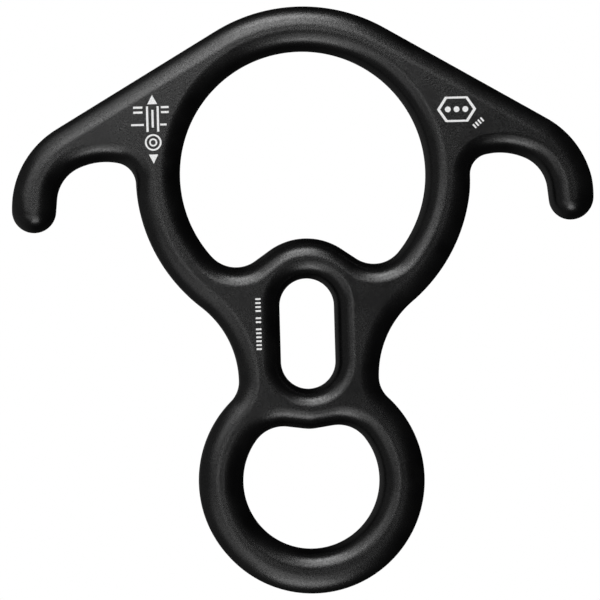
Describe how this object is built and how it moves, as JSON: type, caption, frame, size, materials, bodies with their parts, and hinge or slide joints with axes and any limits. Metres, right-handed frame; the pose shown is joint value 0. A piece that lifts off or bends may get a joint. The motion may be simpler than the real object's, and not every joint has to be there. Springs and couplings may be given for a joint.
{
  "type": "rope descender",
  "caption": "Flat forged rope descender with a large rope eye, a small carabiner eye, a slotted waist and a hooked ear on each side.",
  "frame": {"origin": "on the lower face, below the middle of the overall length and width", "axes": "+Y from the small eye towards the large eye, +X towards one ear (x = 0 is the plane of symmetry), +Z through the thickness, away from the face it lies on"},
  "size_m": [0.1656, 0.1662, 0.0125],
  "materials": {
    "anodised_aluminium": "black hard-anodised, satin"
  },
  "bodies": {
    "root": {"forged_body": "anodised_aluminium"}
  },
  "joints": []
}
